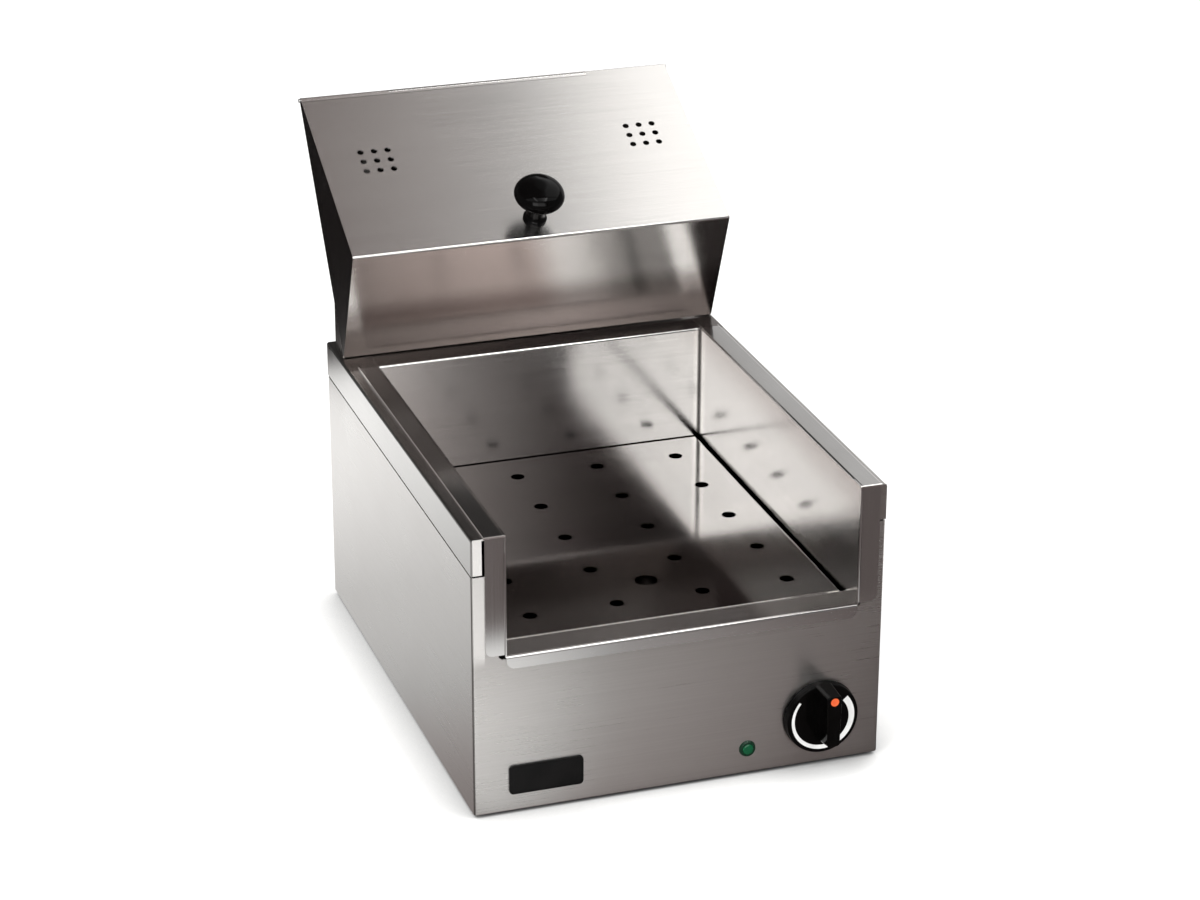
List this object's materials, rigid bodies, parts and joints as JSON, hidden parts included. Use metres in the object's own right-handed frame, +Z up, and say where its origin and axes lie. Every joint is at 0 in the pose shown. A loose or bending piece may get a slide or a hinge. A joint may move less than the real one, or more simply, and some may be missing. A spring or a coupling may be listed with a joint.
{
  "type": "heated food warmer",
  "caption": "Counter-top heated chip warmer: steel body with an open front, lift-out pan with drain plate, control knob and a folding lid.",
  "frame": {"origin": "middle of the footprint's bounding box, on the surface the feet stand on", "axes": "+X to the right seen from the front, +Y to the rear, +Z up; the open scoop side and controls face -Y"},
  "size_m": [0.285, 0.4632, 0.3629],
  "materials": {
    "steel": "brushed stainless sheet, mirror-like between the grain lines",
    "zinc_plate": "galvanised sheet, dull",
    "fixings": "bright plated",
    "element_sheath": "dark annealed sheath",
    "brass": "plain brass and copper",
    "white_ceramic_bead": "fired ceramic, opaque",
    "insulation": "compressed fibre board",
    "black_gloss": "glossy black phenolic",
    "black_matte": "satin black moulding",
    "white_plastic": "white moulding",
    "rubber": "black rubber",
    "green_lens": "green translucent lens",
    "white_print": "white raised print",
    "orange_print": "orange-red inlay",
    "wire_brown": "brown insulated wire",
    "wire_blue": "blue insulated wire",
    "wire_green": "green and yellow insulated wire"
  },
  "bodies": {
    "body": {"badge_plate": "black_matte", "base_plate": "zinc_plate", "base_plate_screws": "fixings", "body_shell": "steel", "bulb_clips": "zinc_plate", "cable_gland": "black_matte", "earth_nut": "fixings", "earth_ring": "brass", "earth_stud": "fixings", "element_insulators": "white_ceramic_bead", "element_pins": "fixings", "element_supports": "zinc_plate", "feet": "rubber", "foot_nuts": "fixings", "foot_screws": "fixings", "gland_nut": "black_matte", "heater_tray": "zinc_plate", "heating_element": "element_sheath", "indicator_bezel": "green_lens", "indicator_body": "black_matte", "indicator_clip": "zinc_plate", "indicator_lens": "green_lens", "insulation_board": "insulation", "lid_rest_rivets": "fixings", "lid_rests": "steel", "pan": "steel", "rear_cover": "steel", "rear_cover_screws": "fixings", "rear_hinge_pin": "fixings", "rear_hinge_plate": "steel", "rear_hinge_rivets": "fixings", "safety_cutout": "black_matte", "terminal_block": "white_plastic", "terminal_screws": "brass", "thermostat_body": "black_matte", "thermostat_bulb": "brass", "thermostat_screws": "fixings", "top_frame": "steel", "tray_nuts": "fixings", "tray_screws": "fixings", "tray_spacers": "zinc_plate", "wire_earth": "wire_green", "wire_heater": "wire_brown", "wire_live": "wire_brown", "wire_neutral": "wire_blue"},
    "plate_body": {"drain_plate": "steel"},
    "knob_body": {"control_knob": "black_gloss", "dial_arc": "white_print", "pointer_dot": "orange_print", "control_shaft": "fixings"},
    "lid_rear_body": {"lid_rear_leaf": "steel"},
    "lid_front_body": {"lid_front_cover": "steel", "lid_knob": "black_gloss", "lid_knob_neck": "black_gloss", "lid_knob_screw": "fixings", "lid_knob_washer": "fixings", "fold_pin": "fixings"}
  },
  "joints": [
    {"name": "lid_rear", "type": "hinge", "parent": "body", "child": "lid_rear_body", "pos_m": [0, 0.1555, 0.2041], "axis": [-1, 0, 0], "range_deg": [-115.35, 0]},
    {"name": "lid_fold", "type": "hinge", "parent": "lid_rear_body", "child": "lid_front_body", "pos_m": [0, 0.2299, 0.3611], "axis": [1, 0, 0], "range_deg": [-170.87, 0]},
    {"name": "plate_lift", "type": "slide", "parent": "body", "child": "plate_body", "axis": [0, 0, 1], "range_m": [0, 0.08]},
    {"name": "knob_turn", "type": "hinge", "parent": "body", "child": "knob_body", "pos_m": [0.0995, -0.2155, 0.0377], "axis": [0, 1, 0], "range_deg": [0, 270]}
  ],
  "couplings": [
    {"joint": "lid_fold", "follows": "lid_rear", "ratio": 1.4812}
  ]
}
